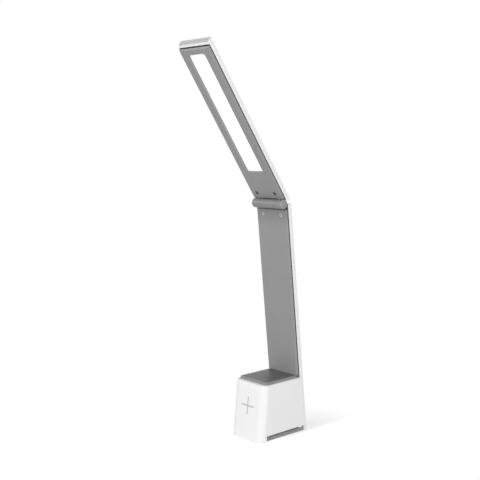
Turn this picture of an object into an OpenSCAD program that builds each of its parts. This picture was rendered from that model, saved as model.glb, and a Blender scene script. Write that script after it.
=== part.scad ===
// Folding desk lamp: base and arm in one white moulding, and a light head on a barrel hinge.
// Millimetres. +Z is up, +X is the lamp's right and -Y its front. The origin is the middle of the
// face that rests on the table. The head is drawn part way open, as a reader would set it.

/* [Body] */
// Width shared by the base, the arm and the head
body_width = 42; // [41:0.5:54]
// Depth of the base where it meets the table
base_depth = 63.8; // [62:0.2:84]
// Height of the base's top face
base_height = 54.6; // [48:0.2:55]
// Lean of the front face, in degrees from upright
front_lean = 5.9; // [3:0.1:7]
// Wall of the base
base_wall = 1.6; // [1.4:0.1:2]
// Thickness of the base's top
roof = 2.6; // [2.2:0.1:4]
// Radius of the two upright front edges
front_corner_r = 7; // [4:0.5:7]
// Radius along the edges of the top face
top_edge_r = 1.6; // [1:0.1:1.8]

/* [Arm] */
// Lean of the arm and of the rear face, in degrees from upright
arm_lean = 6; // [4:0.5:7]
// Distance from the table to the hinge axis, along the arm
arm_length = 226.3; // [225.5:0.2:260]
// Thickness of the arm and of the head, from the grey face to the white back
arm_thickness = 7.4; // [7.2:0.1:9]
// How deep the white side of the arm and of the head is
shell_depth = 5; // [4.8:0.1:5.2]
// Wall at the back of the arm and of the head
shell_wall = 1.4; // [1.2:0.1:1.6]
// How far the white back tapers in on each side
back_taper = 0.7; // [0.4:0.1:1]
// How much of the thickness the taper takes
taper_depth = 3; // [1.8:0.1:3.2]
// White margin on each side of the grey panels
panel_margin = 0.7; // [0.6:0.1:1]

/* [Head] */
// Angle from the straight arm to the head as drawn, in degrees
head_open = 28.6; // [0:0.2:150]
// Distance from the hinge axis to the front edge of the head's tip
head_length = 168.9; // [140:0.1:169]
// How much further the back edge of the tip reaches
tip_slant = 2.3; // [1.6:0.1:2.4]
// Distance from the grey frame to the front edge of the tip
tip_margin = 3.1; // [2.9:0.1:4]
// Width of the light window
window_width = 22; // [16:0.5:23]
// Distance from the hinge axis to the window
window_start = 35.4; // [30:0.2:60]
// Grey border between the window and the frame's tip
window_border = 6; // [5:0.2:12]
// Corner radius of the window
window_r = 2.2; // [1:0.1:6]
// Number of light chips along the window
chip_rows = 14; // [8:1:18]

/* [Hinge] */
// Diameter of the hinge barrel
barrel_d = 9.2; // [9:0.1:10]
// How much shorter the barrel is than the body's width, on each side
barrel_margin = 1.2; // [1:0.1:3]
// Height of the hinge axis in front of the grey faces
hinge_rise = 1.6; // [1.5:0.1:1.8]
// Diameter of the hinge pin
pin_d = 4; // [3.4:0.1:4.4]
// Length of the middle knuckle
middle_knuckle = 18.4; // [14:0.2:20]
// Distance from the hinge axis to each grey panel
panel_start = 5.1; // [5:0.1:7]

/* [Base details] */
// Length of the leg in front of each side notch
front_leg = 8.6; // [7:0.2:12]
// Length of the leg behind each side notch
rear_leg = 4.2; // [4:0.2:12]
// Height of the side notches
notch_height = 5.6; // [4.8:0.1:6.4]
// White margin on each side of the top pad
pad_margin = 2; // [1.8:0.1:4]
// Distance from the front edge of the top face to the pad
pad_from_front = 4.4; // [3:0.2:8]
// Height of the pad above the base
pad_proud = 2.3; // [1:0.1:2.6]
// Size of the plus mark over the touch key
mark_size = 17; // [12:0.5:20]
// Width of the lines of the plus mark
mark_line = 1.2; // [0.8:0.1:2]
// Height of the middle of the plus mark
mark_height = 32.5; // [30:0.1:36]
// Height of the circuit board's underside
board_height = 26; // [25:0.5:28]

/* [Hidden] */
$fn = 64;

// Overrun of every cut past the face it opens
over = 1;
// How far a rib, post or boss runs into the wall that carries it
root = 0.5;
// Clearance between a fixed piece and its pocket
fit = 0.15;
// Clearance between a screw or a fixed pin and its hole
tight = 0.02;
// Clearance between the turning sleeve and the pin
running = 0.05;

// Height of the white legs and of the bottom plate above the table
leg_lift = 0.4;
plate_lift = 0.9;
// Bottom plate
plate_t = 3.4;
plate_edge = 0.8;
plate_recess = 0.8;
plate_corner_r = 1.2;
plate_rear_r = 3.2;
tray_depth = 1.2;
// Anti-slip mat, and how far it stays inside the base
mat_t = 1.5;
mat_from_side = 6;
mat_from_end = 9.3;
mat_r = 4;
// Posts for the screws of the bottom plate
post_r = 3.2;
post_height = 12;
post_from_end = 5.6;
// Screws of the bottom plate
screw_r = 1.3;
screw_head_r = 2.4;
screw_head_t = 1.4;
screw_length = 9;
// Depth of the hexagon in a screw's head, as a share of the head
hexagon_share = 0.6;
// Steel slab, foam and cell
slab_t = 8;
slab_margin = 1.2;
slab_r = 2;
foam_t = 0.8;
foam_margin = 2.6;
cell_t = 10;
cell_margin = 1.6;
cell_lead_r = 0.8;
cell_lead_pitch = 2;
cell_lead_x = 9;
// Circuit board, its posts and its screws
board_t = 1.2;
board_margin = 2;
board_r = 2;
board_post_r = 2.6;
board_post_from_side = 4.4;
board_post_from_end = 7;
board_screw_r = 0.9;
board_screw_head_r = 1.7;
board_screw_head_t = 1;
board_screw_length = 6;
// Coil, chips and cell plug on the circuit board
coil_r = 2.6;
coil_t = 3;
chip_size = 5;
chip_t = 1;
chip_y = 9;
cell_plug_width = 5;
cell_plug_depth = 4.4;
cell_plug_t = 3.4;
// Charging socket
socket_width = 8.9;
socket_t = 3.2;
socket_length = 7.4;
socket_wall = 0.3;
socket_recess = 0.5;
tongue_width = 6.6;
tongue_t = 0.7;
tongue_back = 0.8;
// Plus mark, and the electrode behind it
mark_depth = 0.6;
electrode_r = 8;
electrode_t = 0.4;
// Pad on the base, and the dark inlay in its top
pad_sink = 0.9;
pad_edge = 1;
pad_r = 2.6;
inlay_t = 0.6;
inlay_margin = 0.4;

// Lap joint between the grey panels and the white shells
shadow_gap = 0.9;
panel_tuck = 0.4;
plug_inset = 0.8;
plug_wall = 1.5;
ledge = 1.55;
panel_edge = 1.3;
// Rim of the white shells outside the shadow gap, and the groove and the seal inside the rim
rim_t = 0.4;
tip_gap = 1;
rim_groove = 1.2;
seal_sink = 0.1;
// How far the shells are hollow behind the barrel
end_hollow = 0.8;
// How far the arm's forms run on into the base before they are cut off
arm_root = 20;
// Ribs across the arm
rib_t = 1;
rib_count = 5;
// Screws through the panels and the hinge leaves
panel_screw_x = 12;
panel_screw_z = 10.8;
panel_screw_r = 1;
panel_screw_head_r = 1.9;
panel_screw_head_t = 0.8;
panel_screw_sink = 0.3;
panel_screw_bite = 1.4;
boss_r = 2.5;

// Hinge leaves, straps and knuckles
shell_gap = 0.4;
end_wall = 1.2;
leaf_t = 1.2;
leaf_length = 13;
leaf_margin = 0.8;
strap_inset = 1.4;
scoop_gap = 0.3;
washer_t = 0.5;
washer_play = 0.05;
washer_inset = 0.1;
sleeve_t = 1;
cap_t = 1;
cap_edge = 0.5;
cap_dish = 0.3;
cap_dish_r = 3;
cap_spigot = 1;

// Plate let into the end of the head, and the groove across it
tip_plate_t = 1.2;
tip_plate_margin = 0.35;
groove_margin = 3;
groove_depth = 0.8;
groove_from_edge = 0.2;
groove_height = 2.6;

// Light engine
diffuser_recess = 2;
flange = 2.6;
flange_t = 0.8;
reflector_wall = 1.2;
light_board_t = 1;
light_chip_width = 2.8;
light_chip_length = 3.5;
light_chip_t = 0.7;
light_chip_x = 5.4;
// Leads of the arm and of the head
lead_r = 0.8;
lead_x = 8;
lead_gap = 0.1;
lead_start = 2;
lead_slot = 2;

// Levels in the base
plate_top = plate_lift + plate_t;
slab_z = plate_top - tray_depth;
foam_z = slab_z + slab_t;
cell_z = foam_z + foam_t;
cell_top = cell_z + cell_t;
board_top = board_height + board_t;
socket_z = board_top + socket_t / 2;
roof_under = base_height - roof;
pad_top = base_height + pad_proud;

// Plan of the base's inside
inner_half = body_width / 2 - base_wall;
post_x = inner_half - post_r + root;
post_y = base_depth / 2 - base_wall - post_from_end;
between_posts = post_y - post_r - fit;
board_half = inner_half - board_margin;
board_front = front_y(base_wall + electrode_t, board_height) + fit;
board_rear = rear_y(base_wall, board_top) - fit;
mark_along = mark_height / cos(front_lean);
pad_rear = rear_y(shell_depth + fit, pad_top);

// Levels across the arm and the head, from the hinge axis towards the back
face_y = hinge_rise;
back_y = hinge_rise + arm_thickness;
rim_y = back_y - shell_depth;
seat_y = rim_y + panel_tuck;
leaf_y = seat_y + leaf_t;
floor_y = back_y - shell_wall;
lead_back_y = back_y - max(shell_wall, base_wall);
lead_y = lead_back_y - lead_gap - lead_r;
screw_head_y = face_y + panel_screw_sink + panel_screw_head_t;
light_y = floor_y - light_board_t;

// Widths across the arm and the head
panel_width = body_width - 2 * panel_margin;
plug_width = panel_width - 2 * plug_inset;
pocket_width = plug_width + 2 * fit;
cavity_width = pocket_width - 2 * ledge;
leaf_width = cavity_width - 2 * leaf_margin;
rim_width = body_width - 2 * rim_t;
groove_width = body_width - 2 * groove_margin;
tip_plate_width = body_width - 2 * (back_taper + tip_plate_margin);

// Lengths along the head
frame_tip = head_length - tip_margin;
plug_end = frame_tip - plug_inset + fit;
rim_end = frame_tip + tip_gap;
window_end = frame_tip - window_border;
leaf_end = panel_start + leaf_length;

// Sizes along and round the hinge axis
barrel_half = body_width / 2 - barrel_margin;
barrel_r = barrel_d / 2;
pin_r = pin_d / 2;
sleeve_r = pin_r + running + sleeve_t;
knuckle_x = middle_knuckle / 2 + washer_play + washer_t;
knuckle_end = barrel_half - cap_t;
strap_y = barrel_r - strap_inset;

// Where the rear face, sunk by a depth, is at a height
function rear_y(depth, z) = base_depth / 2 - depth / cos(arm_lean) - z * tan(arm_lean);

// Where the front face, sunk by a depth, is at a height
function front_y(depth, z) = -base_depth / 2 + depth / cos(front_lean) + z * tan(front_lean);

// Places things that lean with the front face, from its foot
module on_front() {
    translate([0, -base_depth / 2, 0]) rotate([-front_lean, 0, 0]) children();
}

// Places things that lean with the arm, from the foot of the rear face
module on_arm() {
    translate([0, base_depth / 2, 0]) rotate([arm_lean, 0, 0]) children();
}

// Places things at the hinge axis, with +Z up along the arm
module on_hinge() {
    on_arm() translate([0, -back_y, arm_length]) children();
}

// Places things of the arm, with +Z from the hinge axis down the arm
module down_arm() {
    on_hinge() mirror([0, 0, 1]) children();
}

// Places things of the head, with +Z from the hinge axis to the tip
module up_head() {
    on_hinge() rotate([head_open, 0, 0]) children();
}

// Bar along X from x0 to x1
module bar_x(r, x0, x1) {
    translate([x0, 0, 0]) rotate([0, 90, 0]) cylinder(r = r, h = x1 - x0);
}

// Rectangle from y0 to y1 with round corners, radius r0 at y0 and r1 at y1
module round_plan(width, y0, y1, r0, r1) {
    half = width / 2;
    translate([r0 - half, y0]) square([width - 2 * r0, r0]);
    translate([-half, y0 + r0]) square([width, y1 - y0 - r0 - r1]);
    translate([r1 - half, y1 - r1]) square([width - 2 * r1, r1]);
    for (side = [-1, 1]) {
        translate([side * (half - r0), y0 + r0]) circle(r0);
        translate([side * (half - r1), y1 - r1]) circle(r1);
    }
}

// Pill shape across X
module pill(width, height) {
    square([width - height, height], center = true);
    for (side = [-1, 1]) translate([side * (width - height) / 2, 0]) circle(height / 2);
}

// Outline across the white back, its sides tapering in towards the back
module back_plan(front, back, half) {
    polygon([
        [-half, front], [half, front], [half, back - taper_depth],
        [half - back_taper, back], [back_taper - half, back], [-half, back - taper_depth]
    ]);
}

// Plate with round corners and a chamfer round its top
module chamfered_plate(width, y0, y1, r, height, edge) {
    half = width / 2;
    side = height - edge;
    for (x = [r - half, half - r])
        for (y = [y0 + r, y1 - r]) {
            translate([x, y, 0]) cylinder(r = r, h = side);
            translate([x, y, side]) cylinder(r1 = r, r2 = r - edge, h = edge);
        }
    translate([r - half, 0, 0]) rotate([90, 0, 90]) linear_extrude(width - 2 * r)
        polygon([[y0, 0], [y1, 0], [y1, side], [y1 - edge, height], [y0 + edge, height], [y0, side]]);
    translate([0, y1 - r, 0]) rotate([90, 0, 0]) linear_extrude(y1 - y0 - 2 * r)
        polygon([
            [-half, 0], [half, 0], [half, side],
            [half - edge, height], [edge - half, height], [-half, side]
        ]);
}

// Screw with a flat head and a hexagon in it, the head below z = 0 and the shank above
module screw(r, length, head_r, head_t) {
    difference() {
        union() {
            cylinder(r = r, h = length);
            translate([0, 0, -head_t]) cylinder(r = head_r, h = head_t);
        }
        translate([0, 0, -head_t - over])
            cylinder(r = head_r / 2, h = over + head_t * hexagon_share, $fn = 6);
    }
}

// Cuts away all that is below a height and in front of a line
module cut_below(top, rear) {
    reach = base_depth + base_height;
    translate([-body_width, rear - reach, -reach]) cube([2 * body_width, reach, reach + top]);
}

// Base block with its walls moved in by a depth, from a foot up to its top with rounded edges
module base_block(sunk, foot, top) {
    reach = base_depth + base_height;
    half = body_width / 2 - sunk;
    edge_z = top - top_edge_r;
    edge_y = front_y(sunk + top_edge_r, edge_z);
    intersection() {
        on_front() translate([0, 0, -over]) linear_extrude(reach)
            round_plan(2 * half, sunk, reach, front_corner_r - sunk, top_edge_r);
        on_arm() translate([0, 0, -over]) linear_extrude(reach)
            back_plan(-reach, -sunk, half);
        translate([0, reach / 2, 0]) rotate([90, 0, 0]) linear_extrude(reach) {
            translate([-half, foot]) square([2 * half, edge_z - foot]);
            translate([top_edge_r - half, foot]) square([2 * (half - top_edge_r), top - foot]);
            for (side = [-1, 1]) translate([side * (half - top_edge_r), edge_z]) circle(top_edge_r);
        }
        translate([-half, 0, 0]) rotate([90, 0, 90]) linear_extrude(2 * half) {
            polygon([
                [front_y(sunk, foot), foot],
                [edge_y - top_edge_r * cos(front_lean), edge_z + top_edge_r * sin(front_lean)],
                [edge_y, top], [base_depth, top], [base_depth, foot]
            ]);
            translate([edge_y, edge_z]) circle(top_edge_r);
        }
    }
}

// White channel of the arm or of the head, solid, from its hinge end to a length
module channel(length) {
    translate([0, 0, shell_gap]) linear_extrude(length - shell_gap)
        back_plan(rim_y, back_y, body_width / 2);
}

// Groove inside the rim, round a pocket that ends at a length, from z0 to z1 and between two depths
module rim_ring(length, z0, z1, y0, y1) {
    difference() {
        translate([-rim_width / 2, y0, z0]) cube([rim_width, y1 - y0, z1 - z0]);
        translate([-pocket_width / 2, y0 - over, -over])
            cube([pocket_width, y1 - y0 + 2 * over, over + length]);
    }
}

// What a channel leaves open up to a length: the pocket of the panel, the groove inside the rim,
// the space behind them and the room for the barrel
module channel_hollow(length, groove_end) {
    wall_z = shell_gap + end_wall;
    translate([-pocket_width / 2, rim_y - over, 0])
        cube([pocket_width, panel_tuck + over, length]);
    rim_ring(length, 0, groove_end, rim_y - over, rim_y + rim_groove);
    translate([-rim_width / 2, rim_y - over, 0])
        cube([rim_width, leaf_y + end_hollow - rim_y + over, panel_start]);
    translate([-cavity_width / 2, rim_y, 0])
        cube([cavity_width, leaf_y + fit - rim_y, length - ledge]);
    translate([-cavity_width / 2, seat_y, wall_z])
        cube([cavity_width, floor_y - seat_y, length - ledge - wall_z]);
    translate([lead_x - lead_slot / 2, seat_y, 0])
        cube([lead_slot, lead_back_y - seat_y, wall_z + over]);
    bar_x(barrel_r + scoop_gap, -pocket_width / 2, pocket_width / 2);
}

// The two screws that hold a panel and a hinge leaf to a shell
module panel_screw_places() {
    for (side = [-1, 1])
        translate([side * panel_screw_x, 0, panel_screw_z]) rotate([-90, 0, 0]) children();
}

// Boss on the shell's floor, under the leaf, for one panel screw
module panel_boss() {
    difference() {
        translate([0, 0, leaf_y]) cylinder(r = boss_r, h = floor_y + root - leaf_y);
        translate([0, 0, leaf_y - over])
            cylinder(r = panel_screw_r + tight, h = panel_screw_bite + root + over);
    }
}

// Hole and counterbore for one panel screw
module panel_screw_hole() {
    translate([0, 0, face_y - over]) {
        cylinder(r = panel_screw_r + fit, h = leaf_y - face_y + 2 * over);
        cylinder(r = panel_screw_head_r + fit, h = screw_head_y - face_y + over);
    }
}

// The two screws of a panel
module panel_screws() {
    panel_screw_places() translate([0, 0, screw_head_y])
        screw(panel_screw_r, leaf_y + panel_screw_bite - screw_head_y,
            panel_screw_head_r, panel_screw_head_t);
}

// Grey panel, chamfered along its sides and its far end, and the plug that drops into a channel
module lap_panel(end) {
    neck_y = rim_y - shadow_gap;
    half = panel_width / 2;
    intersection() {
        translate([0, 0, panel_start]) linear_extrude(end - panel_start) polygon([
            [-half, neck_y], [half, neck_y], [half, face_y + panel_edge],
            [half - panel_edge, face_y], [panel_edge - half, face_y], [-half, face_y + panel_edge]
        ]);
        translate([-half, 0, 0]) rotate([90, 0, 90]) linear_extrude(panel_width) polygon([
            [face_y, panel_start], [neck_y, panel_start], [neck_y, end],
            [face_y + panel_edge, end], [face_y, end - panel_edge]
        ]);
    }
    translate([-plug_width / 2, neck_y, panel_start + plug_inset])
        cube([plug_width, seat_y - neck_y, end - panel_start - 2 * plug_inset]);
}

// Hinge leaf behind a panel, with a strap and a knuckle for each span along X
module hinge_leaf(spans, bore_r) {
    difference() {
        union() {
            translate([-leaf_width / 2, seat_y, panel_start]) cube([leaf_width, leaf_t, leaf_length]);
            for (span = spans) {
                translate([span[0], strap_y, 0])
                    cube([span[1] - span[0], seat_y - strap_y, panel_start]);
                inner = max(span[0], -leaf_width / 2);
                outer = min(span[1], leaf_width / 2);
                translate([inner, seat_y, 0])
                    cube([outer - inner, leaf_t, panel_start + root]);
                bar_x(barrel_r, span[0], span[1]);
            }
        }
        bar_x(bore_r, -body_width, body_width);
        panel_screw_places() translate([0, 0, seat_y - over])
            cylinder(r = panel_screw_r + tight, h = leaf_t + 2 * over);
    }
}

// Places of the four screws of the bottom plate
module plate_screw_places() {
    for (x = [-post_x, post_x])
        for (y = [-post_y, post_y])
            translate([x, y, 0]) children();
}

// Places of the four screws of the circuit board
module board_screw_places() {
    for (x = [board_post_from_side - board_half, board_half - board_post_from_side])
        for (y = [board_front + board_post_from_end, board_rear - board_post_from_end])
            translate([x, y, 0]) children();
}

// Posts inside the base, with the holes for their screws
module base_posts() {
    difference() {
        union() {
            intersection() {
                plate_screw_places() translate([0, 0, plate_top]) cylinder(r = post_r, h = post_height);
                base_block(base_wall / 2, 0, roof_under);
            }
            board_screw_places() translate([0, 0, board_top])
                cylinder(r = board_post_r, h = roof_under + root - board_top);
        }
        plate_screw_places() translate([0, 0, plate_top - over])
            cylinder(r = screw_r + tight, h = screw_length + over);
        board_screw_places() translate([0, 0, board_top - over])
            cylinder(r = board_screw_r + tight, h = board_screw_length + over);
    }
}

// Ribs across the arm behind its panel, notched for the lead
module arm_ribs() {
    from = leaf_end + rib_t;
    to = arm_length - base_height / cos(arm_lean);
    pitch = (to - from) / (rib_count + 1);
    rib_y = seat_y + fit;
    down_arm() for (i = [1 : rib_count]) translate([0, 0, from + i * pitch]) difference() {
        translate([-cavity_width / 2, rib_y, 0]) cube([cavity_width, floor_y + root - rib_y, rib_t]);
        translate([lead_x - lead_slot / 2, rib_y - over, -over])
            cube([lead_slot, floor_y - rib_y + over, rib_t + 2 * over]);
    }
}

// Both side notches at the foot of the base
module side_notches() {
    notch_length = base_depth - front_leg - rear_leg;
    cut = base_wall + front_corner_r;
    for (x = [-body_width / 2 - over, body_width / 2 + over - cut])
        translate([x, front_leg - base_depth / 2, -over])
            cube([cut, notch_length, over + leg_lift + notch_height]);
}

// Hole through the rear wall for the charging plug
module socket_cut() {
    translate([0, rear_y(base_wall, socket_z) - over, socket_z]) rotate([-90, 0, 0])
        linear_extrude(base_wall + 2 * over) pill(socket_width + 2 * fit, socket_t + 2 * fit);
}

// Way for the lead through the base's top
module lead_cut() {
    down_arm() translate([lead_x - lead_slot / 2, seat_y, arm_length - base_height / cos(arm_lean) - over])
        cube([lead_slot, lead_back_y - seat_y, roof + 3 * over]);
}

// Plus mark in the front face
module plus_mark(lift) {
    on_front() translate([0, -lift, mark_along]) for (size = [[mark_size, mark_line], [mark_line, mark_size]])
        translate([-size[0] / 2, 0, -size[1] / 2]) cube([size[0], lift + mark_depth, size[1]]);
}

// Pad on the base grown by a clearance, from a height up
module pad_form(grow, z0) {
    pad_front = front_y(0, base_height) + pad_from_front;
    pad_width = body_width - 2 * pad_margin;
    translate([0, 0, z0]) chamfered_plate(pad_width + 2 * grow, pad_front - grow, pad_rear + grow,
        pad_r + grow, pad_top - z0, pad_edge);
}

// White moulding: base housing and the back of the arm in one piece
module stand_shell() {
    color("white") {
        difference() {
            union() {
                base_block(0, leg_lift, base_height);
                difference() {
                    down_arm() channel(arm_length - arm_root);
                    down_arm() channel_hollow(arm_length - arm_root, arm_length - arm_root);
                    cut_below(roof_under, base_depth);
                }
            }
            base_block(base_wall, -over, roof_under);
            side_notches();
            pad_form(fit, base_height - pad_sink);
            lead_cut();
            socket_cut();
            plus_mark(over);
        }
        base_posts();
        down_arm() panel_screw_places() panel_boss();
        arm_ribs();
    }
}

// Plan of the inlay in the pad, grown by a clearance
module inlay_plan(grow) {
    inset = pad_edge + inlay_margin;
    pad_front = front_y(0, base_height) + pad_from_front;
    round_plan(body_width - 2 * (pad_margin + inset - grow), pad_front + inset - grow,
        pad_rear - inset + grow, pad_r - inset + grow, pad_r - inset + grow);
}

// Grey pad let into the top of the base
module base_pad() {
    color("gray") difference() {
        pad_form(0, base_height - pad_sink);
        translate([0, 0, pad_top - inlay_t]) linear_extrude(inlay_t + over) inlay_plan(fit);
    }
}

// Dark sheet let into the top of the pad
module pad_inlay() {
    color("dimgray") translate([0, 0, pad_top - inlay_t]) linear_extrude(inlay_t) inlay_plan(0);
}

// Slab between the corner posts, with a margin to the side walls
module slab(margin, grow, z0, height) {
    translate([0, 0, z0]) linear_extrude(height)
        round_plan(2 * (inner_half - margin + grow), -between_posts - grow, between_posts + grow,
            slab_r + grow, slab_r + grow);
}

// Outline of the mat, grown by a clearance
module mat_plan(grow) {
    half_y = base_depth / 2 - mat_from_end + grow;
    round_plan(body_width - 2 * (mat_from_side - grow), -half_y, half_y, mat_r + grow, mat_r + grow);
}

// Grey plate that closes the base, a tray for the steel slab, shown in the side notches
module base_plate() {
    wall_front = front_y(base_wall, plate_top) + fit;
    wall_rear = rear_y(base_wall, plate_top) - fit;
    tab_front = front_leg - base_depth / 2 + fit;
    tab_rear = base_depth / 2 - rear_leg - fit;
    color("gray") difference() {
        translate([0, 0, plate_lift]) {
            linear_extrude(plate_t) round_plan(2 * (inner_half - fit), wall_front, wall_rear,
                front_corner_r - base_wall, plate_rear_r);
            chamfered_plate(body_width - 2 * plate_recess, tab_front, tab_rear,
                plate_corner_r, plate_t, plate_edge);
        }
        slab(slab_margin, fit, slab_z, plate_t);
        translate([0, 0, -over]) linear_extrude(over + mat_t) mat_plan(fit);
        plate_screw_places() {
            translate([0, 0, -over]) cylinder(r = screw_r + fit, h = plate_top + 2 * over);
            translate([0, 0, -over])
                cylinder(r = screw_head_r + fit, h = over + plate_lift + screw_head_t);
        }
    }
}

// Anti-slip mat that the lamp rests on
module foot_mat() {
    color("darkslategray") linear_extrude(mat_t) mat_plan(0);
}

// Four screws that hold the bottom plate
module plate_screws() {
    color("silver") plate_screw_places() translate([0, 0, plate_lift + screw_head_t])
        screw(screw_r, screw_length, screw_head_r, screw_head_t);
}

// Steel slab that keeps the lamp upright
module counterweight() {
    color("slategray") slab(slab_margin, 0, slab_z, slab_t);
}

// Foam between the steel slab and the cell
module battery_foam() {
    color("black") slab(foam_margin, 0, foam_z, foam_t);
}

// Flat rechargeable cell
module battery_cell() {
    color("silver") slab(cell_margin, 0, cell_z, cell_t);
}

// Two leads from the cell to the circuit board
module battery_lead() {
    color("red") for (side = [-1, 1])
        translate([-cell_lead_x + side * cell_lead_pitch / 2, 0, cell_top])
            cylinder(r = cell_lead_r, h = board_height - cell_top);
}

// Circuit board: charging, dimming and touch sensing
module control_board() {
    color("darkgreen") translate([0, 0, board_height]) linear_extrude(board_t) difference() {
        round_plan(2 * board_half, board_front, board_rear, board_r, board_r);
        board_screw_places() circle(board_screw_r + fit);
    }
}

// Coil, chips and cell plug on the circuit board
module board_parts() {
    color("black") translate([0, 0, board_top]) {
        cylinder(r = coil_r, h = coil_t);
        for (y = [-chip_y, chip_y]) translate([-chip_size / 2, y - chip_size / 2, 0])
            cube([chip_size, chip_size, chip_t]);
        translate([-cell_lead_x - cell_plug_width / 2, -cell_plug_depth / 2, 0])
            cube([cell_plug_width, cell_plug_depth, cell_plug_t]);
    }
}

// Four screws that hold the circuit board under its posts
module board_screws() {
    color("silver") board_screw_places() translate([0, 0, board_height])
        screw(board_screw_r, board_screw_length, board_screw_head_r, board_screw_head_t);
}

// Charging socket with its tongue, open to the rear
module usb_socket() {
    mouth = rear_y(socket_recess, socket_z);
    color("silver") translate([0, mouth - socket_length, socket_z]) rotate([-90, 0, 0]) {
        difference() {
            linear_extrude(socket_length) pill(socket_width, socket_t);
            translate([0, 0, tongue_back]) linear_extrude(socket_length)
                pill(socket_width - 2 * socket_wall, socket_t - 2 * socket_wall);
        }
        translate([-tongue_width / 2, -tongue_t / 2, 0])
            cube([tongue_width, tongue_t, socket_length - tongue_back]);
    }
}

// Grey inlay over the touch key, flush with the front face
module touch_mark() {
    color("lightgray") plus_mark(0);
}

// Copper electrode stuck behind the touch key
module touch_electrode() {
    color("orange") on_front() translate([0, base_wall, mark_along]) rotate([-90, 0, 0])
        cylinder(r = electrode_r, h = electrode_t);
}

// Grey front of the arm, hollow behind below the leaf, and cut level over the base and its pad
module arm_panel() {
    hollow_z = leaf_end + plug_wall;
    hollow_width = plug_width - 2 * plug_wall;
    color("gray") difference() {
        down_arm() lap_panel(arm_length - arm_root);
        down_arm() translate([-hollow_width / 2, rim_y - shadow_gap, hollow_z])
            cube([hollow_width, arm_thickness, arm_length - hollow_z]);
        cut_below(pad_top + fit, pad_rear);
        cut_below(base_height, base_depth);
        down_arm() panel_screw_places() panel_screw_hole();
    }
}

// Dark seal between the arm panel and the white rims, down to the top of the base
module arm_seal() {
    color("black") difference() {
        down_arm() rim_ring(arm_length, panel_start, arm_length - arm_root,
            rim_y + seal_sink, rim_y + rim_groove);
        cut_below(base_height, base_depth);
    }
}

// Two screws through the arm panel and the lower leaf
module arm_screws() {
    color("dimgray") down_arm() panel_screws();
}

// Lead from the circuit board up the arm to the hinge
module arm_lead() {
    color("ivory") difference() {
        down_arm() translate([lead_x, lead_y, lead_start]) cylinder(r = lead_r, h = arm_length - lead_start);
        cut_below(board_top, base_depth);
    }
}

// Leaf on the arm, with the two end knuckles
module lower_leaf() {
    color("gray") down_arm()
        hinge_leaf([[-knuckle_end, -knuckle_x], [knuckle_x, knuckle_end]], pin_r + tight);
}

// Leaf on the head, with the middle knuckle
module upper_leaf() {
    color("gray") up_head()
        hinge_leaf([[-middle_knuckle / 2, middle_knuckle / 2]], sleeve_r + tight);
}

// Hinge pin, held in the end knuckles
module hinge_pin() {
    half = knuckle_end - cap_spigot - fit;
    color("silver") on_hinge() bar_x(pin_r, -half, half);
}

// Two washers that rub on the middle knuckle
module friction_washers() {
    color("goldenrod") on_hinge() for (x = [-knuckle_x, knuckle_x - washer_t]) difference() {
        bar_x(barrel_r - washer_inset, x, x + washer_t);
        bar_x(pin_r + tight, x - over, x + washer_t + over);
    }
}

// Sleeve that grips the pin and keeps the head where it is put
module friction_sleeve() {
    color("goldenrod") up_head() difference() {
        bar_x(sleeve_r, -middle_knuckle / 2, middle_knuckle / 2);
        bar_x(pin_r + running, -middle_knuckle, middle_knuckle);
    }
}

// Dished caps on the ends of the barrel, plugged into its knuckles
module hinge_caps() {
    color("darkgray") on_hinge() for (turn = [0, 180]) rotate([0, 0, turn]) difference() {
        union() {
            bar_x(pin_r, knuckle_end - cap_spigot, knuckle_end + cap_t / 2);
            bar_x(barrel_r, knuckle_end, barrel_half - cap_edge);
            translate([barrel_half - cap_edge, 0, 0]) rotate([0, 90, 0])
                cylinder(r1 = barrel_r, r2 = barrel_r - cap_edge, h = cap_edge);
        }
        bar_x(cap_dish_r, barrel_half - cap_dish, barrel_half + over);
    }
}

// How far along the head its slanted end reaches, at a depth
function end_z(y) = head_length + (y - rim_y) * tip_slant / shell_depth;

// Bar across the end of the head between two depths, from a depth under the end face up to a lift
module end_bar(width, y0, y1, sunk, lift) {
    translate([-width / 2, 0, 0]) rotate([90, 0, 90]) linear_extrude(width)
        polygon([
            [y0, end_z(y0) - sunk], [y0, end_z(y0) + lift],
            [y1, end_z(y1) + lift], [y1, end_z(y1) - sunk]
        ]);
}

// White back of the head, with a slanted end
module head_shell() {
    color("white") up_head() {
        difference() {
            intersection() {
                channel(head_length + tip_slant);
                translate([-body_width, 0, 0]) rotate([90, 0, 90]) linear_extrude(2 * body_width)
                    polygon([
                        [0, 0], [0, head_length], [rim_y, head_length],
                        [back_y, head_length + tip_slant], [back_y, 0]
                    ]);
            }
            channel_hollow(plug_end, rim_end);
            end_bar(tip_plate_width + 2 * fit, rim_y + tip_plate_margin - fit,
                back_y - tip_plate_margin + fit, tip_plate_t, over);
        }
        panel_screw_places() panel_boss();
    }
}

// Light grey plate let into the end of the head, with a groove across it
module tip_plate() {
    plate_front = rim_y + tip_plate_margin;
    groove_front = plate_front + groove_from_edge;
    color("lightgray") up_head() difference() {
        end_bar(tip_plate_width, plate_front, back_y - tip_plate_margin, tip_plate_t, 0);
        end_bar(groove_width, groove_front, groove_front + groove_height, groove_depth, over);
    }
}

// Window shape, grown by a clearance, between two depths
module window_form(grow, y0, y1) {
    translate([0, y1, 0]) rotate([90, 0, 0]) linear_extrude(y1 - y0)
        round_plan(window_width + 2 * grow, window_start - grow, window_end + grow,
            window_r + grow, window_r + grow);
}

// Grey frame round the light window
module head_frame() {
    color("gray") up_head() difference() {
        lap_panel(frame_tip);
        window_form(fit, face_y - over, seat_y + over);
        panel_screw_places() panel_screw_hole();
    }
}

// Dark seal between the head frame and the white rims
module head_seal() {
    color("black") up_head()
        rim_ring(plug_end, panel_start, rim_end, rim_y + seal_sink, rim_y + rim_groove);
}

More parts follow.
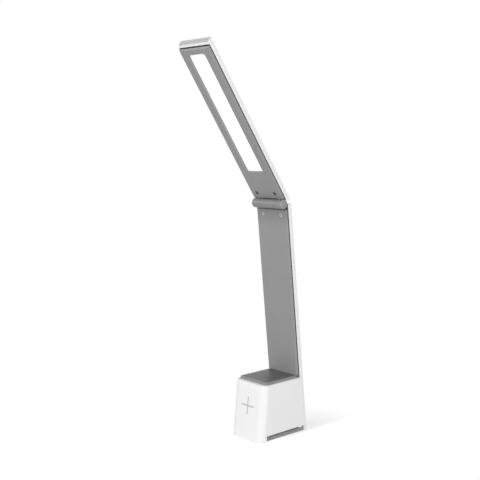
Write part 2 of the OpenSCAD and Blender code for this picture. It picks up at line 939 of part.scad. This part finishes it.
// Two screws through the head frame and the upper leaf
module head_screws() {
    color("dimgray") up_head() panel_screws();
}

// Milky plate that fills the window, with a flange behind the frame
module diffuser() {
    color("white") up_head() {
        window_form(0, face_y + diffuser_recess, seat_y + flange_t);
        window_form(flange, seat_y, seat_y + flange_t);
    }
}

// White ring between the diffuser and the light board
module reflector() {
    color("whitesmoke") up_head() difference() {
        window_form(flange, seat_y + flange_t, light_y);
        window_form(flange - reflector_wall, seat_y, floor_y);
    }
}

// Aluminium board of the light chips, on the floor of the shell
module light_board() {
    color("lightgray") up_head() window_form(flange, light_y, floor_y);
}

// Light chips in two columns
module light_chips() {
    pitch = (window_end - window_start) / chip_rows;
    color("gold") up_head() for (side = [-1, 1])
        for (i = [0 : chip_rows - 1])
            translate([side * light_chip_x, light_y - light_chip_t, window_start + (i + 0.5) * pitch])
                translate([-light_chip_width / 2, 0, -light_chip_length / 2])
                cube([light_chip_width, light_chip_t, light_chip_length]);
}

// Lead from the hinge to the light board
module head_lead() {
    color("ivory") up_head() translate([lead_x, lead_y, lead_start])
        cylinder(r = lead_r, h = window_start - flange - lead_start);
}

stand_shell();
base_pad();
pad_inlay();
base_plate();
foot_mat();
plate_screws();
counterweight();
battery_foam();
battery_cell();
battery_lead();
control_board();
board_parts();
board_screws();
usb_socket();
touch_mark();
touch_electrode();
arm_panel();
arm_seal();
arm_screws();
arm_lead();
lower_leaf();
hinge_pin();
friction_washers();
hinge_caps();
upper_leaf();
friction_sleeve();
head_shell();
tip_plate();
head_frame();
head_seal();
head_screws();
diffuser();
reflector();
light_board();
light_chips();
head_lead();
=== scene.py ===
"""Folding desk lamp: its finishes, the studio and the camera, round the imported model. Metres."""

import math

import bpy
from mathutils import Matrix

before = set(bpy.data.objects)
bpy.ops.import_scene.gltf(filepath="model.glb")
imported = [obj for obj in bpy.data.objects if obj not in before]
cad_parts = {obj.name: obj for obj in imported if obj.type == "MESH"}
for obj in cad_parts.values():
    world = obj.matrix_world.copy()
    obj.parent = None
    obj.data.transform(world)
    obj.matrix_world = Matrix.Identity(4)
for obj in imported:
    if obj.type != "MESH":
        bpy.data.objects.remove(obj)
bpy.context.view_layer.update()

# Camera, solved from the straight edges of the lamp
CAMERA_PLACE = (0.574875, -0.564646, 0.277107)
CAMERA_TURN = 47.534
CAMERA_DOWN = 6.234
CAMERA_LENS = 63.559
CAMERA_SENSOR = 36
CAMERA_RANGE = (0.01, 50)

# Softboxes that face the middle of the lamp: place, size and watts
SOFTBOX_AIM = (0, 0, 0.15)
SOFTBOXES = {
    "key_light": ((0.1, -1.5, 0.7), 0.25, 5.2),
    "right_light": ((1.44, -0.74, 0.5), 1.0, 15.8),
    "left_light": ((-1.15, -1.15, 0.6), 1.2, 7.4),
    "back_light": ((-0.35, 1.6, 0.3), 1.2, 10.0),
}
ROOM_LIGHT = 0.36

# Table: the paper that lights the lamp, and the stretch by the base where the camera sees a shadow
TABLE_SIZE = 6.0
PAPER_WHITE = (0.8, 0.8, 0.8)
SHADED_WHITE = (1, 1, 1)
SHADED_GLOW = 0.21
SHADOW_PLACE = (0.005, 0.045, 0)
SHADOW_REACH = (0.005, 0.06)
SHADOW_SIDE = (0.0215, 0.0245)

# Hinge axis and the radii, over its barrel, between which the paint of a leaf gives way to its near-black
# strap, painted shade for the gaps beside the barrel
HINGE_AXIS = (0, -0.0007055, 0.2241195)
BARREL_RADIUS = 0.0046
PAINT_EDGE = (BARREL_RADIUS + 0.00005, BARREL_RADIUS + 0.0002)

# Slanted end of the head: its facing, and the distances along it at which the groove, darkened as painted
# shade, turns to the face
END_FACING = (0, -0.8574, 0.5147)
END_DISTANCE = 0.2668
GROOVE_DEPTH = 0.0007
GROOVE_EDGE = (END_DISTANCE - GROOVE_DEPTH, END_DISTANCE - 0.0001)

# Grey of both panels. Painted shade on them near the hinge, a soft band and a dark line in the gaps:
# reach from the hinge axis, and the share of the tone left
PANEL_GREY = (0.242, 0.242, 0.245)
HEAD_PAINTED_SHADE = (((0.0055, 0.013), 0.86), ((0.0052, 0.0058), 0.15))
ARM_PAINTED_SHADE = (((0.0055, 0.024), 0.72), ((0.0056, 0.0066), 0.15))


def empty_tree(owner):
    """Node tree of a material or a world, with nothing in it."""
    owner.use_nodes = True
    owner.node_tree.nodes.clear()
    return owner.node_tree


def join(tree, source, target):
    """Links two sockets."""
    tree.links.new(source, target)


def new_finish(name, roughness, metallic=0.0, shine=0.5):
    """A material with its main shader. Returns the material, its tree and the shader."""
    made = bpy.data.materials.new(name)
    tree = empty_tree(made)
    shader = tree.nodes.new("ShaderNodeBsdfPrincipled")
    out = tree.nodes.new("ShaderNodeOutputMaterial")
    join(tree, shader.outputs["BSDF"], out.inputs["Surface"])
    shader.inputs["Roughness"].default_value = roughness
    shader.inputs["Metallic"].default_value = metallic
    shader.inputs["Specular IOR Level"].default_value = shine
    return made, tree, shader


def object_place(tree):
    """Object coordinates."""
    return tree.nodes.new("ShaderNodeTexCoord").outputs["Object"]


def stretched_place(tree, stretch=(1, 1, 1)):
    """Object coordinates, stretched."""
    mapping = tree.nodes.new("ShaderNodeMapping")
    mapping.inputs["Scale"].default_value = stretch
    join(tree, object_place(tree), mapping.inputs["Vector"])
    return mapping.outputs["Vector"]


def vector_math(tree, operation, place, other, result):
    """One vector operation between a place and a fixed vector."""
    maths = tree.nodes.new("ShaderNodeVectorMath")
    maths.operation = operation
    maths.inputs[1].default_value = other
    join(tree, place, maths.inputs[0])
    return maths.outputs[result]


def from_hinge(tree):
    """Distance of a point of the lamp from the hinge axis."""
    across = vector_math(tree, "MULTIPLY", object_place(tree), (0, 1, 1), "Vector")
    return vector_math(tree, "DISTANCE", across, HINGE_AXIS, "Value")


def grain(tree, place, waves, detail):
    """Cloudy grain with so many waves to the metre."""
    noise = tree.nodes.new("ShaderNodeTexNoise")
    noise.inputs["Scale"].default_value = waves
    noise.inputs["Detail"].default_value = detail
    join(tree, place, noise.inputs["Vector"])
    return noise.outputs["Fac"]


def cells(tree, place, waves):
    """Distance to the middle of the nearest of many small cells."""
    voronoi = tree.nodes.new("ShaderNodeTexVoronoi")
    voronoi.inputs["Scale"].default_value = waves
    join(tree, place, voronoi.inputs["Vector"])
    return voronoi.outputs["Distance"]


def spread(tree, value, low, high, start=0.3, end=0.7):
    """Maps start..end of a pattern to low..high."""
    ranged = tree.nodes.new("ShaderNodeMapRange")
    ranged.inputs["From Min"].default_value = start
    ranged.inputs["From Max"].default_value = end
    ranged.inputs["To Min"].default_value = low
    ranged.inputs["To Max"].default_value = high
    join(tree, value, ranged.inputs["Value"])
    return ranged.outputs["Result"]


def larger(tree, one, other):
    """The larger of two values."""
    most = tree.nodes.new("ShaderNodeMath")
    most.operation = "MAXIMUM"
    join(tree, one, most.inputs[0])
    join(tree, other, most.inputs[1])
    return most.outputs["Value"]


def scaled(tone, share):
    """A tone times a share."""
    return [part * share for part in tone]


def colour_mix(tree):
    """A node that mixes two colours."""
    mix = tree.nodes.new("ShaderNodeMix")
    mix.data_type = "RGBA"
    return mix


def tint(tree, value, dark, light):
    """Colour between two tones, by a value from 0 to 1."""
    mix = colour_mix(tree)
    mix.inputs["A"].default_value = (*dark, 1)
    mix.inputs["B"].default_value = (*light, 1)
    join(tree, value, mix.inputs["Factor"])
    return mix.outputs["Result"]


def either_colour(tree, value, inner, outer):
    """The inner colour where a value is 0 and the outer one where it is 1."""
    mix = colour_mix(tree)
    join(tree, inner, mix.inputs["A"])
    join(tree, outer, mix.inputs["B"])
    join(tree, value, mix.inputs["Factor"])
    return mix.outputs["Result"]


def painted_hinge_shade(tree, colour, reach, left):
    """Painted shade: a colour that keeps only a share of its tone at the start of a reach from the hinge
    axis.
    """
    layer = tint(tree, spread(tree, from_hinge(tree), 0, 1, *reach), [left] * 3, (1, 1, 1))
    mix = colour_mix(tree)
    mix.blend_type = "MULTIPLY"
    mix.inputs["Factor"].default_value = 1
    join(tree, colour, mix.inputs["A"])
    join(tree, layer, mix.inputs["B"])
    return mix.outputs["Result"]


def dress(tree, shader, colour, roughness, *heights):
    """Gives a shader its colour, its roughness and the patterns that raise it, each with its depth."""
    join(tree, colour, shader.inputs["Base Color"])
    join(tree, roughness, shader.inputs["Roughness"])
    normal = None
    for height, depth in heights:
        bump = tree.nodes.new("ShaderNodeBump")
        bump.inputs["Distance"].default_value = depth
        join(tree, height, bump.inputs["Height"])
        if normal:
            join(tree, normal, bump.inputs["Normal"])
        normal = bump.outputs["Normal"]
    join(tree, normal, shader.inputs["Normal"])


def moulded_plastic(name, tone, drift, roughness, texture, depth, painted_shade=()):
    """Satin moulded plastic: spark-eroded texture, flow clouds, handling marks and painted shade by the
    hinge.
    """
    made, tree, shader = new_finish(name, roughness)
    place = stretched_place(tree)
    clouds = spread(tree, grain(tree, place, waves=28, detail=3), 0, 1)
    colour = tint(tree, clouds, scaled(tone, 1 - drift), scaled(tone, 1 + drift))
    for reach, left in painted_shade:
        colour = painted_hinge_shade(tree, colour, reach, left)
    smears = grain(tree, stretched_place(tree, (1, 1, 0.35)), waves=120, detail=4)
    dress(tree, shader, colour, spread(tree, smears, roughness - 0.04, roughness + 0.05),
          (grain(tree, place, texture, detail=3), depth))
    return made


def soft_touch(name, tone, roughness):
    """Soft-touch pad: fine leather-like cells and a dusting of lint."""
    made, tree, shader = new_finish(name, roughness)
    place = stretched_place(tree)
    clouds = spread(tree, grain(tree, place, waves=60, detail=3), 0, 1)
    smears = grain(tree, place, waves=90, detail=4)
    dress(tree, shader, tint(tree, clouds, scaled(tone, 0.93), scaled(tone, 1.07)),
          spread(tree, smears, roughness - 0.05, roughness + 0.06),
          (cells(tree, place, waves=2200), 0.00001))
    return made


def rubber(name, tone):
    """Anti-slip rubber with round dimples."""
    made, tree, shader = new_finish(name, 0.8, shine=0.3)
    place = stretched_place(tree)
    dust = spread(tree, grain(tree, place, waves=200, detail=5), 0, 1)
    dress(tree, shader, tint(tree, dust, tone, scaled(tone, 1.6)),
          spread(tree, grain(tree, place, waves=400, detail=3), 0.7, 0.9),
          (cells(tree, place, waves=900), 0.0002))
    return made


def drawn_metal(name, tone, roughness):
    """Metal with fine marks."""
    made, tree, shader = new_finish(name, roughness, metallic=1.0)
    marks = grain(tree, stretched_place(tree), waves=900, detail=4)
    dress(tree, shader, tint(tree, marks, scaled(tone, 0.82), tone),
          spread(tree, marks, roughness - 0.08, roughness + 0.1), (marks, 0.00001))
    return made


def satin_paint(name, tone, roughness, strap_shade_tone=None):
    """Paint over metal, with a slight orange peel, and a near-black strap clear of the hinge's barrel,
    painted shade for the gaps beside it.
    """
    made, tree, shader = new_finish(name, roughness)
    place = stretched_place(tree)
    clouds = spread(tree, grain(tree, place, waves=150, detail=3), 0, 1)
    colour = tint(tree, clouds, scaled(tone, 0.96), scaled(tone, 1.04))
    if strap_shade_tone:
        strap_shade = tint(tree, clouds, strap_shade_tone, scaled(strap_shade_tone, 1.3))
        colour = either_colour(tree, spread(tree, from_hinge(tree), 0, 1, *PAINT_EDGE), colour, strap_shade)
    dress(tree, shader, colour,
          spread(tree, grain(tree, place, waves=500, detail=3), roughness - 0.05, roughness + 0.05),
          (grain(tree, place, waves=900, detail=2), 0.000012))
    return made


def grooved_plate(name, tone, groove_shade_tone):
    """Satin moulded plate, with painted shade, a darker tone, in its groove."""
    made, tree, shader = new_finish(name, 0.42)
    place = stretched_place(tree)
    outward = vector_math(tree, "DOT_PRODUCT", object_place(tree), END_FACING, "Value")
    clouds = spread(tree, grain(tree, place, waves=28, detail=3), 0, 1)
    groove = tint(tree, clouds, scaled(groove_shade_tone, 0.98), groove_shade_tone)
    face = tint(tree, clouds, scaled(tone, 0.98), tone)
    dress(tree, shader, either_colour(tree, spread(tree, outward, 0, 1, *GROOVE_EDGE), groove, face),
          spread(tree, grain(tree, place, waves=120, detail=4), 0.38, 0.47),
          (grain(tree, place, waves=2600, detail=3), 0.000006))
    return made


def foam(name, tone):
    """Open foam."""
    made, tree, shader = new_finish(name, 0.95, shine=0.2)
    pores = cells(tree, stretched_place(tree), waves=1600)
    walls = spread(tree, pores, 0, 1, start=0, end=0.6)
    dress(tree, shader, tint(tree, walls, scaled(tone, 0.4), scaled(tone, 1.5)),
          spread(tree, pores, 0.85, 1.0, start=0, end=0.6), (pores, 0.0003))
    return made


def foil(name, tone):
    """Foil pouch with shallow creases."""
    made, tree, shader = new_finish(name, 0.35, metallic=1.0)
    place = stretched_place(tree)
    creases = grain(tree, place, waves=110, detail=5)
    dress(tree, shader, tint(tree, creases, scaled(tone, 0.88), tone), spread(tree, creases, 0.28, 0.42),
          (creases, 0.0004), (grain(tree, place, waves=1500, detail=2), 0.00002))
    return made


def insulation(name, tone):
    """Smooth lead insulation, a little uneven along the lead."""
    made, tree, shader = new_finish(name, 0.42)
    place = stretched_place(tree)
    uneven = spread(tree, grain(tree, place, waves=350, detail=3), 0, 1)
    dress(tree, shader, tint(tree, uneven, scaled(tone, 0.9), tone),
          spread(tree, uneven, 0.36, 0.5, start=0, end=1),
          (grain(tree, place, waves=700, detail=2), 0.00003))
    return made


def circuit_board(name, mask, track):
    """Solder mask with the lighter look of the tracks under it."""
    made, tree, shader = new_finish(name, 0.4)
    bricks = tree.nodes.new("ShaderNodeTexBrick")
    bricks.inputs["Scale"].default_value = 260
    bricks.inputs["Mortar Size"].default_value = 0.06
    bricks.inputs["Color1"].default_value = (*mask, 1)
    bricks.inputs["Color2"].default_value = (*scaled(mask, 1.15), 1)
    bricks.inputs["Mortar"].default_value = (*track, 1)
    join(tree, stretched_place(tree), bricks.inputs["Vector"])
    dust = grain(tree, stretched_place(tree), waves=800, detail=3)
    dress(tree, shader, bricks.outputs["Color"], spread(tree, dust, 0.33, 0.47),
          (bricks.outputs["Fac"], 0.00002))
    return made


def milky_window(name, tone, glow):
    """Milky plate lit from behind. Its glow is faint, so it isn't sampled as a lamp."""
    made, tree, shader = new_finish(name, 0.4)
    made.cycles.emission_sampling = "NONE"
    place = stretched_place(tree)
    haze = spread(tree, grain(tree, place, waves=90, detail=3), 0, 1)
    join(tree, tint(tree, haze, scaled(tone, 0.98), tone), shader.inputs["Emission Color"])
    shader.inputs["Emission Strength"].default_value = glow
    dress(tree, shader, tint(tree, haze, scaled(tone, 0.985), tone),
          spread(tree, haze, 0.36, 0.44, start=0, end=1),
          (grain(tree, place, waves=2600, detail=2), 0.000006))
    return made


def phosphor(name, tone):
    """Yellow phosphor of the light chips."""
    made, tree, shader = new_finish(name, 0.5)
    grains = spread(tree, grain(tree, stretched_place(tree), waves=4000, detail=3), 0, 1)
    dress(tree, shader, tint(tree, grains, scaled(tone, 0.85), tone),
          spread(tree, grains, 0.42, 0.6, start=0, end=1), (grains, 0.00002))
    return made


def grey_panel(name, painted_shade):
    """Plastic of the grey panels, with painted shade by the hinge."""
    return moulded_plastic(name, PANEL_GREY, 0.03, 0.5, 2200, 0.000009, painted_shade)


FINISHES = {
    "white_plastic": moulded_plastic("white_plastic", (0.83, 0.83, 0.83), 0.012, 0.4, 2600, 0.000006),
    # Both grey panel finishes carry painted shade by the hinge: a soft band and a dark line in the gap
    "grey_plastic": grey_panel("grey_plastic", HEAD_PAINTED_SHADE),
    "arm_grey": grey_panel("arm_grey", ARM_PAINTED_SHADE),
    "pad_plastic": soft_touch("pad_plastic", (0.1, 0.1, 0.102), 0.42),
    "mat_rubber": rubber("mat_rubber", (0.045, 0.045, 0.047)),
    # The seals' near-black tone is painted shade: it stands in for the shadow in the gap between panel
    # and white shell
    "seal_rubber": soft_touch("seal_rubber", (0.03, 0.03, 0.031), 0.6),
    "steel": drawn_metal("steel", (0.62, 0.62, 0.63), 0.32),
    "dark_steel": drawn_metal("dark_steel", (0.12, 0.12, 0.125), 0.42),
    # A lighter copy of the dark screw steel, a painted highlight on the arm's screws
    "grey_steel": drawn_metal("grey_steel", (0.4, 0.4, 0.41), 0.3),
    # The end plate's groove is darkened as painted shade
    "tip_grey": grooved_plate("tip_grey", (0.5, 0.5, 0.504), (0.235, 0.235, 0.238)),
    # The hinge leaves' near-black strap is painted shade for the gaps beside the barrel
    "hinge_grey": satin_paint("hinge_grey", (0.2, 0.2, 0.203), 0.38, (0.03, 0.03, 0.031)),
    "cap_grey": satin_paint("cap_grey", (0.27, 0.27, 0.274), 0.34),
    "bronze": drawn_metal("bronze", (0.27, 0.245, 0.21), 0.42),
    "foam": foam("foam", (0.05, 0.05, 0.05)),
    "cell_foil": foil("cell_foil", (0.72, 0.72, 0.74)),
    "red_insulation": insulation("red_insulation", (0.55, 0.03, 0.025)),
    "white_insulation": insulation("white_insulation", (0.8, 0.8, 0.77)),
    "board_green": circuit_board("board_green", (0.02, 0.14, 0.05), (0.05, 0.26, 0.1)),
    "black_parts": moulded_plastic("black_parts", (0.025, 0.025, 0.026), 0.1, 0.5, 3000, 0.00001),
    "copper": drawn_metal("copper", (0.75, 0.38, 0.24), 0.3),
    "mark_grey": moulded_plastic("mark_grey", (0.42, 0.42, 0.425), 0.02, 0.45, 2600, 0.000006),
    "diffuser_white": milky_window("diffuser_white", (0.92, 0.92, 0.92), 0.35),
    "board_white": circuit_board("board_white", (0.8, 0.8, 0.79), (0.86, 0.86, 0.84)),
    "chip_yellow": phosphor("chip_yellow", (0.85, 0.68, 0.18)),
}

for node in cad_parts.values():
    for slot in node.material_slots:
        slot.material = FINISHES[slot.material.name.split(".")[0]]
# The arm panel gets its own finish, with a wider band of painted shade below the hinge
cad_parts["arm_panel"].material_slots[0].material = FINISHES["arm_grey"]


def seen_by_camera(tree):
    """1 for what the camera sees, straight, mirrored or through glass."""
    path = tree.nodes.new("ShaderNodeLightPath")
    mirrored = larger(tree, path.outputs["Is Camera Ray"], path.outputs["Is Glossy Ray"])
    return larger(tree, mirrored, path.outputs["Is Transmission Ray"])


def mixed_shader(tree, value, unseen, seen):
    """One shader where a value is 0 and another where it is 1."""
    mix = tree.nodes.new("ShaderNodeMixShader")
    join(tree, value, mix.inputs["Fac"])
    join(tree, unseen, mix.inputs[1])
    join(tree, seen, mix.inputs[2])
    return mix.outputs["Shader"]


def diffuse(tree, tone):
    """Matt surface of one tone."""
    surface = tree.nodes.new("ShaderNodeBsdfDiffuse")
    surface.inputs["Color"].default_value = (*tone, 1)
    return surface.outputs["BSDF"]


def glowing(tree, strength):
    """White surface that glows."""
    surface = tree.nodes.new("ShaderNodeEmission")
    surface.inputs["Strength"].default_value = strength
    return surface.outputs["Emission"]


def white_sky(tree, strength):
    """White background of a strength."""
    sky = tree.nodes.new("ShaderNodeBackground")
    sky.inputs["Color"].default_value = (1, 1, 1, 1)
    sky.inputs["Strength"].default_value = strength
    return sky.outputs["Background"]


def white_room():
    """World: white where the camera looks, and an even light on the lamp."""
    world = bpy.data.worlds.new("white_room")
    bpy.context.scene.world = world
    tree = empty_tree(world)
    out = tree.nodes.new("ShaderNodeOutputWorld")
    sky = mixed_shader(tree, seen_by_camera(tree), white_sky(tree, ROOM_LIGHT), white_sky(tree, 1))
    join(tree, sky, out.inputs["Surface"])


def white_table():
    """Floor: white, with the lamp's shadow kept close behind its base. It isn't sampled as a lamp."""
    bpy.ops.mesh.primitive_plane_add(size=TABLE_SIZE, location=(0, 0, 0))
    table = bpy.context.object
    table.name = "table"
    made = bpy.data.materials.new("table_white")
    made.cycles.emission_sampling = "NONE"
    tree = empty_tree(made)
    place = object_place(tree)
    sides = tree.nodes.new("ShaderNodeSeparateXYZ")
    join(tree, place, sides.inputs["Vector"])
    away = spread(tree, vector_math(tree, "DISTANCE", place, SHADOW_PLACE, "Value"), 0, 1, *SHADOW_REACH)
    aside = spread(tree, sides.outputs["X"], 0, 1, *SHADOW_SIDE)
    near = tree.nodes.new("ShaderNodeAddShader")
    join(tree, diffuse(tree, SHADED_WHITE), near.inputs[0])
    join(tree, glowing(tree, SHADED_GLOW), near.inputs[1])
    seen = mixed_shader(tree, larger(tree, away, aside), near.outputs["Shader"], glowing(tree, 1))
    out = tree.nodes.new("ShaderNodeOutputMaterial")
    join(tree, mixed_shader(tree, seen_by_camera(tree), diffuse(tree, PAPER_WHITE), seen),
         out.inputs["Surface"])
    table.data.materials.append(made)


def softbox(name, place, size, watts):
    """Square softbox that faces the middle of the lamp."""
    data = bpy.data.lights.new(name, "AREA")
    data.shape = "SQUARE"
    data.size = size
    data.energy = watts
    box = bpy.data.objects.new(name, data)
    bpy.context.scene.collection.objects.link(box)
    box.location = place
    away = [seat - aim for seat, aim in zip(place, SOFTBOX_AIM)]
    flat = math.hypot(away[0], away[1])
    box.rotation_euler = (math.atan2(flat, away[2]), 0, math.atan2(away[0], -away[1]))


def camera():
    """Camera at the viewing angle of the picture."""
    data = bpy.data.cameras.new("camera")
    data.sensor_width = CAMERA_SENSOR
    data.lens = CAMERA_LENS
    data.clip_start, data.clip_end = CAMERA_RANGE
    stand = bpy.data.objects.new("camera", data)
    bpy.context.scene.collection.objects.link(stand)
    stand.location = CAMERA_PLACE
    stand.rotation_euler = (math.radians(90 - CAMERA_DOWN), 0, math.radians(CAMERA_TURN))
    bpy.context.scene.camera = stand


white_room()
white_table()
for name, (place, size, watts) in SOFTBOXES.items():
    softbox(name, place, size, watts)
camera()
bpy.context.scene.view_settings.view_transform = "Standard"
